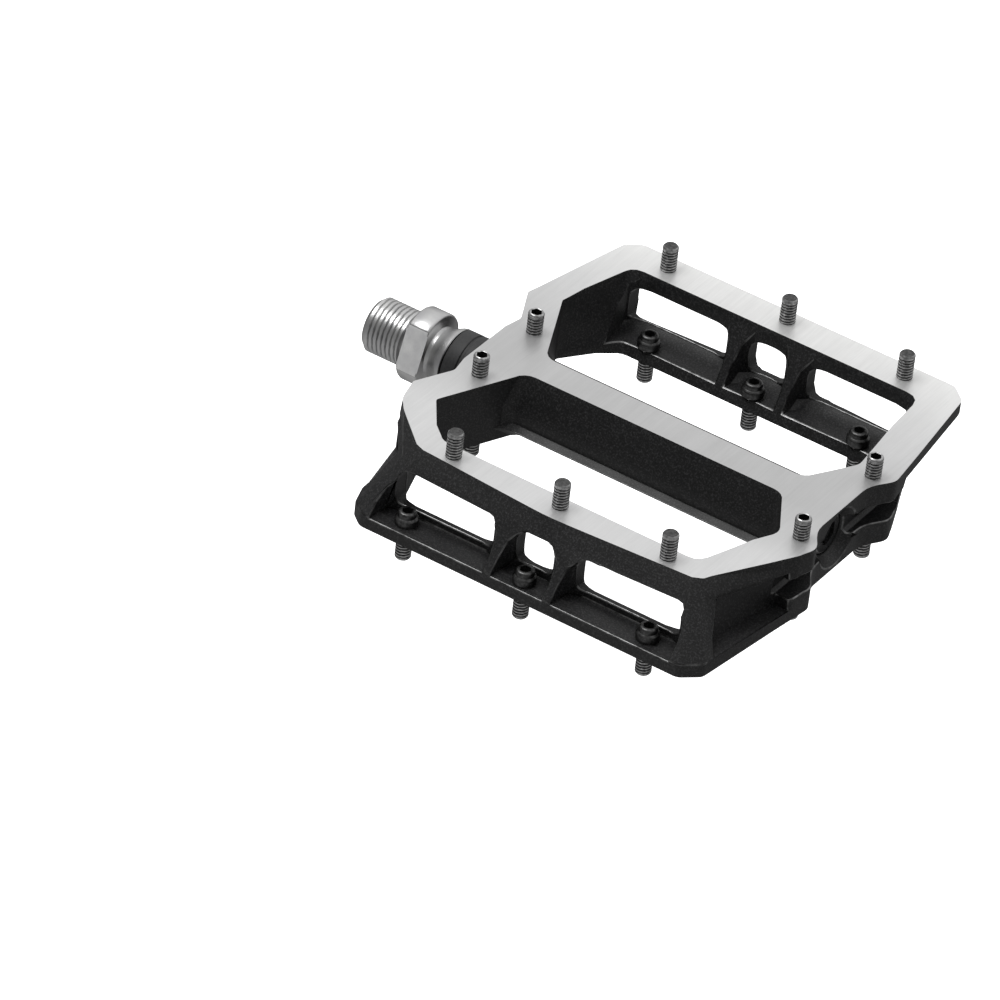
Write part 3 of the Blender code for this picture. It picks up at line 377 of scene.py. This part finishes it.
def seal_rubber():
    """Matte black rubber."""
    black = (0.022, 0.022, 0.023)
    material, tree, shader = new_material("seal_rubber", black, roughness=0.58, metallic=0.0)
    grain = noise(tree, object_coordinates(tree), scale=1800.0, detail=3.0)
    tree.links.new(ramp(tree, grain, RUBBER_STOPS), shader.inputs["Base Color"])
    tree.links.new(spread(tree, grain, low=0.50, high=0.68), shader.inputs["Roughness"])
    bump(tree, shader, grain, strength=0.3, distance=0.00003)
    return material


def bush_polymer():
    """Brown bearing polymer."""
    brown = (0.22, 0.16, 0.08)
    material, tree, shader = new_material("bush_polymer", brown, roughness=0.5, metallic=0.0)
    grain = noise(tree, object_coordinates(tree), scale=900.0, detail=3.0)
    tree.links.new(ramp(tree, grain, BUSH_STOPS), shader.inputs["Base Color"])
    return material


MATERIALS = {
    "bright": machined_aluminium(),
    "black": black_anodise(),
    "edge": painted_edge_highlight(),
    "steel": turned_steel("turned_steel", tint=0.56, rough=0.28),
    "milled": turned_steel("milled_steel", tint=0.95, rough=0.55),
    "bearing": turned_steel("bearing_steel", tint=0.66, rough=0.16),
    "zinc": turned_steel("zinc_steel", tint=0.55, rough=0.34),
    "oxide": black_oxide("black_oxide", tint=0.09),
    # The paler tint below is a painted highlight: a lit copy of the oxide for thread crests and tip rims
    "crest": black_oxide("crest_painted_highlight", tint=0.44),
    "rubber": seal_rubber(),
    "bush": bush_polymer(),
}


def add_piece(name, bm, finishes, body, replaced):
    """Makes a mesh piece that stands for a CAD node and moves with a body."""
    bmesh.ops.recalc_face_normals(bm, faces=bm.faces)
    mesh = bpy.data.meshes.new(name)
    bm.to_mesh(mesh)
    bm.free()
    for finish in finishes:
        mesh.materials.append(MATERIALS[finish])
    piece = bpy.data.objects.new(name, mesh)
    bpy.context.scene.collection.objects.link(piece)
    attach(piece, body)
    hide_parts(replaced)
    return piece


def soften(piece, angle_deg=SOFT_ANGLE_DEG):
    """Shades a piece smooth, apart from edges sharper than the angle."""
    piece.data.shade_smooth()
    piece.data.set_sharp_from_angle(angle=math.radians(angle_deg))


def lathe_rows(bm, rows, segments, matrix, closed=False):
    """Skins rows of (radius, or radius function of angle, and z) turned about Z, capped unless they close."""
    rings = []
    for reach, z in rows:
        ring = []
        for i in range(segments):
            angle = 2 * math.pi * i / segments
            r = reach(angle) if callable(reach) else reach
            ring.append(bm.verts.new(matrix @ Vector((r * math.cos(angle), r * math.sin(angle), z))))
        rings.append(ring)
    pairs = list(zip(rings, rings[1:]))
    if closed:
        pairs.append((rings[-1], rings[0]))
    for upper, lower in pairs:
        for i in range(segments):
            j = (i + 1) % segments
            bm.faces.new((upper[i], upper[j], lower[j], lower[i]))
    if not closed:
        bm.faces.new(rings[0])
        bm.faces.new(list(reversed(rings[-1])))


def thread_rows(radius, depth, pitch, start, end, per_turn, fade, crest_share):
    """Rows of a right-hand thread from z start to z end that runs out over the fade length at both ends."""
    rows = []
    count = max(2, int(abs(end - start) / pitch * per_turn))
    for k in range(count + 1):
        z = start + (end - start) * k / count
        share = min(1.0, abs(z - start) / fade, abs(end - z) / fade)

        def reach(angle, z=z, share=share):
            phase = (z / pitch - angle / (2 * math.pi)) % 1.0
            valley = 1.0 - min(1.0, abs(2 * phase - 1) * crest_share)
            return radius - depth * share * valley

        rows.append((reach, z))
    return rows


def hexagon(across):
    """Radius function of a hexagonal socket."""
    return lambda angle: across / 2 / math.cos((angle % (math.pi / 3)) - math.pi / 6)


def pin_matrix(node):
    """Stands a pin on its CAD node's axis, turned over for the lower face."""
    low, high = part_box(node)
    middle = (low + high) / 2
    turn = Matrix.Rotation(math.pi, 4, "X") if "_lower_" in node else Matrix.Identity(4)
    return Matrix.Translation((middle.x, middle.y, 0)) @ turn


def fit_pin_holes(bm, pins):
    """Draws the rims of the pin holes on the bright faces close round their pins."""
    for vert in bm.verts:
        for pin in pins:
            away = Vector((vert.co.x - pin.x, vert.co.y - pin.y, 0.0))
            if away.length < PIN_HOLE_REACH and abs(vert.co.z) > FACE_HEIGHT_LEAST:
                vert.co += away.normalized() * (PIN_HOLE_RADIUS - away.length)


def weigh_bevels(bm, pins):
    """Marks the outer edges that get a bevel in the painted edge highlight: none by a pin, on a bright face's rim
    or at the spar's roots.
    """
    places = [vert.co.x for vert in bm.verts]
    centre_x = (min(places) + max(places)) / 2
    weight = bm.edges.layers.float.new("bevel_weight_edge")
    for edge in bm.edges:
        middle = (edge.verts[0].co + edge.verts[1].co) / 2
        along, across = abs(middle.x - centre_x), abs(middle.y)
        angle = math.degrees(edge.calc_face_angle_signed()) if edge.is_manifold else 0.0
        by_pin = any(math.hypot(middle.x - pin.x, middle.y - pin.y) < PIN_HOLE_REACH for pin in pins)
        milled = any(face.material_index == BRIGHT_INDEX for face in edge.link_faces)
        at_root = SPAR_ROOT_X[0] < along < SPAR_ROOT_X[1] and SPAR_ROOT_Y[0] < across < SPAR_ROOT_Y[1]
        edge[weight] = float(angle > CAGE_BEVEL_ANGLE_DEG and not (by_pin or milled or at_root))


def build_cage():
    """The cage with softened edges: black all over, bright on its two machined faces."""
    bm = bmesh.new()
    bm.from_mesh(nodes["pedal_cage"].data)
    bmesh.ops.remove_doubles(bm, verts=bm.verts, dist=WELD_DISTANCE)
    bmesh.ops.dissolve_limit(bm, angle_limit=math.radians(FLAT_ANGLE_DEG), verts=bm.verts, edges=bm.edges)
    for face in bm.faces:
        face.normal_update()
        height = abs(face.calc_center_median().z)
        milled = abs(face.normal.z) > FACE_NORMAL_LEAST and height > FACE_HEIGHT_LEAST
        face.material_index = BRIGHT_INDEX if milled else 0
    pins = [pin_matrix(name).translation for name in nodes if "_pin_" in name]
    fit_pin_holes(bm, pins)
    weigh_bevels(bm, pins)
    cage = add_piece("cage_shell", bm, CAGE_FINISHES, "cage", "pedal_cage")
    packed_normals = cage.data.attributes.get("custom_normal")
    if packed_normals:
        cage.data.attributes.remove(packed_normals)
    bevel = cage.modifiers.new("soft_edges", "BEVEL")
    bevel.width = CAGE_BEVEL
    bevel.segments = CAGE_BEVEL_SEGMENTS
    bevel.limit_method = "WEIGHT"
    bevel.use_clamp_overlap = False
    # The bevels take the paler edge material, a painted edge highlight
    bevel.material = CAGE_FINISHES.index("edge")
    level = cage.modifiers.new("flat_faces", "WEIGHTED_NORMAL")
    level.weight = FACE_AREA_WEIGHT
    level.keep_sharp = True
    soften(cage, CAGE_CREASE_DEG)
    verts = cage.data.vertices
    for edge in cage.data.edges:
        start, end = (verts[i].co for i in edge.vertices)
        on_spar = max(abs(start.y), abs(end.y)) < SPAR_HALF_WIDTH
        if on_spar and abs(end.x - start.x) > SPAR_CREASE_LENGTH:
            edge.use_edge_sharp = True


def pin_thread(tip, drop):
    """Rows of a pin's thread, from under its tip to the given drop below it."""
    return thread_rows(
        PIN_RADIUS,
        PIN_THREAD_DEPTH,
        PIN_PITCH,
        tip - PIN_THREAD_START,
        tip - drop,
        PIN_ROWS_PER_TURN,
        PIN_PITCH,
        PIN_CREST_SHARE,
    )


def add_screw(node, rows, tip):
    """Turns a screw on its node's axis, with a painted highlight in paler oxide on the rim at its tip and on the
    crests along its thread.
    """
    place = pin_matrix(node)
    axis = place.translation
    bm = bmesh.new()
    lathe_rows(bm, rows, PIN_SEGMENTS, place)
    for face in bm.faces:
        face.normal_update()
        middle = face.calc_center_median()
        reach = math.hypot(middle.x - axis.x, middle.y - axis.y)
        slope = abs(face.normal.z)
        # Crest and rim faces get the paler oxide, a painted highlight
        at_crest = PIN_CREST_RADIUS < reach < PIN_RADIUS and slope < CREST_SLOPE_MOST
        at_rim = abs(middle.z) > tip - PIN_CHAMFER and RIM_SLOPE_LEAST < slope < FACE_NORMAL_LEAST
        face.material_index = int(at_crest or at_rim)
    piece = add_piece(node + "_screw", bm, ("oxide", "crest"), "cage", node)
    soften(piece)


def rail_pin(node):
    """Pin with a threaded shank, a flat chamfered tip and a stepped socket head below."""
    low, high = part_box(node)
    tip = max(abs(low.z), abs(high.z))
    crown = min(abs(low.z), abs(high.z))
    if low.z * high.z < 0:
        crown = -crown
    wide = (high.x - low.x) / 2
    step = crown + HEAD_CROWN
    seat = step + HEAD_COLLAR
    rows = [(FLAT_CENTRE, tip)]
    rows += [(PIN_RADIUS - inset, tip - drop) for inset, drop in RAIL_TIP]
    rows += pin_thread(tip, RAIL_THREAD_END)
    rows += [(PIN_RADIUS, seat)]
    for level, edge in ((seat, HEAD_SEAT_EDGE), (step, HEAD_STEP_EDGE), (crown, HEAD_CROWN_EDGE)):
        rows += [(wide - inset, level + rise) for inset, rise in edge]
    rows += [
        (hexagon(SOCKET_ACROSS), crown),
        (hexagon(SOCKET_ACROSS), crown + SOCKET_DEPTH),
        (SOCKET_CENTRE, crown + SOCKET_DEPTH + SOCKET_CONE),
    ]
    add_screw(node, rows, tip)


def end_pin(node):
    """Grub screw, threaded up to a rounded rim round its hexagonal socket."""
    low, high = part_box(node)
    tip = max(abs(low.z), abs(high.z))
    foot = min(abs(low.z), abs(high.z))
    rows = [
        (SOCKET_CENTRE, tip - SOCKET_DEPTH - SOCKET_CONE),
        (hexagon(SOCKET_ACROSS), tip - SOCKET_DEPTH),
        (hexagon(SOCKET_ACROSS), tip - SOCKET_MOUTH),
    ]
    rows += [(PIN_RADIUS - inset, tip - drop) for inset, drop in END_TIP]
    rows += pin_thread(tip, END_THREAD_END)
    rows += [(PIN_RADIUS, foot + PIN_CHAMFER), (PIN_RADIUS - PIN_CHAMFER, foot), (FLAT_CENTRE, foot)]
    add_screw(node, rows, tip)


def flats(radius):
    """Radius function of a round section with two wrench flats."""

    def reach(angle):
        slope = abs(math.cos(angle - math.radians(WRENCH_ANGLE_DEG)))
        return min(radius, WRENCH_ACROSS / 2 / max(slope, WRENCH_SLOPE_LEAST))

    return reach


def crank_end_rows(tip, seat):
    """Rows of the axle's tip, its crank thread and the relief before the collar."""
    root = THREAD_RADIUS - THREAD_CHAMFER
    rows = [(root + out, tip + back) for out, back in TIP_EDGE]
    rows += [(THREAD_RADIUS - THREAD_LEAD_INSET, tip + THREAD_LEAD_START)]
    rows += thread_rows(
        THREAD_RADIUS,
        AXLE_THREAD_DEPTH,
        AXLE_PITCH,
        tip + THREAD_CHAMFER,
        seat - AXLE_PITCH,
        AXLE_ROWS_PER_TURN,
        AXLE_PITCH / 2,
        AXLE_CREST_SHARE,
    )
    rows += [(root, seat - RELIEF_LENGTH), (root, seat - RELIEF_FILLET), (root + RELIEF_FILLET, seat)]
    return rows


def collar_rows(seat, collar):
    """Rows of the wrench collar and the waist that swells out to the seal."""
    rim = COLLAR_RADIUS - COLLAR_CHAMFER
    waist = collar + WAIST_LENGTH
    rows = [
        (flats(rim), seat),
        (flats(rim + COLLAR_ROUND_OUT), seat + COLLAR_ROUND_IN),
        (flats(COLLAR_RADIUS), seat + COLLAR_CHAMFER),
        (flats(COLLAR_RADIUS), collar - COLLAR_CHAMFER),
        (flats(rim + COLLAR_ROUND_OUT), collar - COLLAR_ROUND_IN),
        (flats(rim), collar),
    ]
    rows += [(WAIST_RADIUS + out, collar + back) for out, back in WAIST_FILLET]
    for share in WAIST_SHARES:
        swell = 0.5 - 0.5 * math.cos(math.pi * (share - WAIST_SWELL_START) / WAIST_SWELL_SPAN)
        rows.append((WAIST_RADIUS + (SEAL_RADIUS - WAIST_RADIUS) * swell, collar + WAIST_LENGTH * share))
    rows += [(SEAL_RADIUS, waist - WAIST_EDGE), (SEAL_RADIUS - WAIST_EDGE, waist)]
    return rows


def build_axle():
    """Spindle with its crank thread, wrench collar, polished waist and the stepped shaft inside the cage."""
    low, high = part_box("axle")
    seat = low.x + THREAD_LENGTH
    collar = seat + COLLAR_LENGTH
    waist = collar + WAIST_LENGTH
    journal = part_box("axle_bush")[1].x
    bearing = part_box("bearing_1_inner_race")[0].x - FIT_GAP
    rows = crank_end_rows(low.x, seat) + collar_rows(seat, collar)
    rows += [
        (JOURNAL_RADIUS, waist),
        (JOURNAL_RADIUS, journal),
        (SHAFT_ROOT_RADIUS, journal),
        (SHAFT_ROOT_RADIUS, journal + SHAFT_TAPER),
        (SHAFT_END_RADIUS, bearing - SHAFT_TAPER),
        (SHAFT_END_RADIUS, bearing),
        (BEARING_SEAT_RADIUS, bearing),
        (BEARING_SEAT_RADIUS, high.x - AXLE_END_CHAMFER),
        (BEARING_SEAT_RADIUS - AXLE_END_CHAMFER, high.x),
    ]
    bm = bmesh.new()
    lathe_rows(bm, rows, AXLE_SEGMENTS, Z_TO_X)
    wrench_angle = math.radians(WRENCH_ANGLE_DEG)
    flat = Vector((0.0, math.sin(wrench_angle), -math.cos(wrench_angle)))
    for face in bm.faces:
        face.normal_update()
        at_collar = seat < face.calc_center_median().x < collar
        face.material_index = int(at_collar and abs(face.normal.dot(flat)) > FACE_NORMAL_LEAST)
    piece = add_piece("axle_spindle", bm, ("steel", "milled"), "axle", "axle")
    soften(piece)


def build_seal():
    """Rubber seal with rounded lips and a ring groove."""
    low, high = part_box("axle_seal")
    bore = JOURNAL_RADIUS + SEAL_LIP
    groove = low.x + (high.x - low.x) * SEAL_GROOVE_SHARE
    rows = [
        (bore, low.x),
        (SEAL_RADIUS - SEAL_LIP, low.x),
        (SEAL_RADIUS - SEAL_LIP_ROUND, low.x + SEAL_LIP_ROUND),
        (SEAL_RADIUS, low.x + SEAL_LIP),
        (SEAL_RADIUS, groove - SEAL_GROOVE_WIDTH),
        (SEAL_RADIUS - SEAL_LIP, groove - SEAL_GROOVE_WIDTH / 2),
        (SEAL_RADIUS - SEAL_LIP, groove + SEAL_GROOVE_WIDTH / 2),
        (SEAL_RADIUS, groove + SEAL_GROOVE_WIDTH),
        (SEAL_RADIUS, high.x - SEAL_LIP),
        (SEAL_RADIUS - SEAL_LIP, high.x),
        (bore, high.x),
    ]
    bm = bmesh.new()
    lathe_rows(bm, rows, AXLE_SEGMENTS, Z_TO_X, closed=True)
    piece = add_piece("seal_ring", bm, ("rubber",), "cage", "axle_seal")
    soften(piece)


def build_cap():
    """End cap with a bright chamfered rim round a dark hexagonal socket."""
    low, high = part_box("end_cap")
    radius = (high.z - low.z) / 2
    rows = [
        (CAP_CENTRE, low.x),
        (radius, low.x),
        (radius, high.x - CAP_RIM / 2),
        (radius - CAP_RIM, high.x),
        (hexagon(CAP_SOCKET_ACROSS), high.x),
        (hexagon(CAP_SOCKET_ACROSS), high.x - CAP_SOCKET_DEPTH),
        (CAP_CENTRE, high.x - CAP_SOCKET_FLOOR),
    ]
    bm = bmesh.new()
    lathe_rows(bm, rows, AXLE_SEGMENTS, Z_TO_X)
    for face in bm.faces:
        middle = face.calc_center_median()
        at_rim = math.hypot(middle.y, middle.z) > radius - CAP_RIM
        face.material_index = int(at_rim and middle.x > high.x - CAP_RIM)
    piece = add_piece("cap_plug", bm, ("black", "steel"), "cage", "end_cap")
    soften(piece)


def paint_nodes():
    """Finishes the CAD nodes that show as they are."""
    finishes = {
        "axle_bush": "bush",
        "axle_nut": "zinc",
        "axle_washer": "zinc",
    }
    for name, node in nodes.items():
        finish = "bearing" if name.startswith("bearing_") else finishes.get(name)
        if finish:
            node.data.materials.clear()
            node.data.materials.append(MATERIALS[finish])


def build_sky():
    """White above and behind, dim towards the viewer, pale again below as over a white table."""
    world = bpy.data.worlds.new("studio")
    world.use_nodes = True
    tree = world.node_tree
    source = tree.nodes.new("ShaderNodeTexCoord")
    tilt = tree.nodes.new("ShaderNodeMapping")
    tilt.inputs["Rotation"].default_value = (math.radians(SKY_TILT_DEG), 0.0, 0.0)
    parts = tree.nodes.new("ShaderNodeSeparateXYZ")
    height = tree.nodes.new("ShaderNodeMapRange")
    height.inputs["From Min"].default_value = -1.0
    tree.links.new(source.outputs["Generated"], tilt.inputs["Vector"])
    tree.links.new(tilt.outputs["Vector"], parts.inputs["Vector"])
    tree.links.new(parts.outputs["Z"], height.inputs["Value"])
    colour = ramp(tree, height.outputs["Result"], SKY_STOPS)
    background = tree.nodes["Background"]
    background.inputs["Strength"].default_value = SKY_STRENGTH
    tree.links.new(colour, background.inputs["Color"])
    bpy.context.scene.world = world


def build_floor():
    """Pale floor, clear of the cage when it turns."""
    swing = max(math.hypot(corner.y, corner.z) for corner in cad_box)
    bpy.ops.mesh.primitive_plane_add(size=FLOOR_SIZE, location=(0, 0, -swing - FLOOR_GAP))
    floor = bpy.context.object
    floor.name = "floor"
    floor.visible_glossy = False
    floor.visible_diffuse = False
    material, _, shader = new_material("pale_floor", colour=0.9, roughness=0.8, metallic=0.0)
    shader.inputs["Emission Color"].default_value = opaque(1.0)
    shader.inputs["Emission Strength"].default_value = FLOOR_GLOW
    floor.data.materials.append(material)


def build_key():
    """One soft square light over the pedal, aimed at its middle."""
    lamp = bpy.data.lights.new("key", "AREA")
    lamp.shape = "SQUARE"
    lamp.size = KEY_SIZE
    lamp.energy = KEY_POWER
    obj = bpy.data.objects.new("key", lamp)
    obj.location = KEY_PLACE
    obj.rotation_euler = (-Vector(KEY_PLACE)).to_track_quat("-Z", "Y").to_euler()
    bpy.context.scene.collection.objects.link(obj)


def build_camera():
    """Camera with the photograph's view."""
    camera = bpy.data.cameras.new("camera")
    camera.lens = CAMERA_LENS_MM
    camera.sensor_width = CAMERA_SENSOR_MM
    camera.clip_end = CAMERA_CLIP_END
    obj = bpy.data.objects.new("camera", camera)
    obj.location = CAMERA_LOCATION
    obj.rotation_euler = [math.radians(angle) for angle in CAMERA_ROTATION_DEG]
    bpy.context.scene.collection.objects.link(obj)
    bpy.context.scene.camera = obj


build_cage()
build_axle()
build_seal()
build_cap()
for node_name in sorted(nodes):
    if node_name.startswith("rail_pin"):
        rail_pin(node_name)
    elif node_name.startswith("end_pin"):
        end_pin(node_name)
paint_nodes()
build_sky()
build_floor()
build_key()
build_camera()
bpy.context.scene.view_settings.view_transform = "Standard"
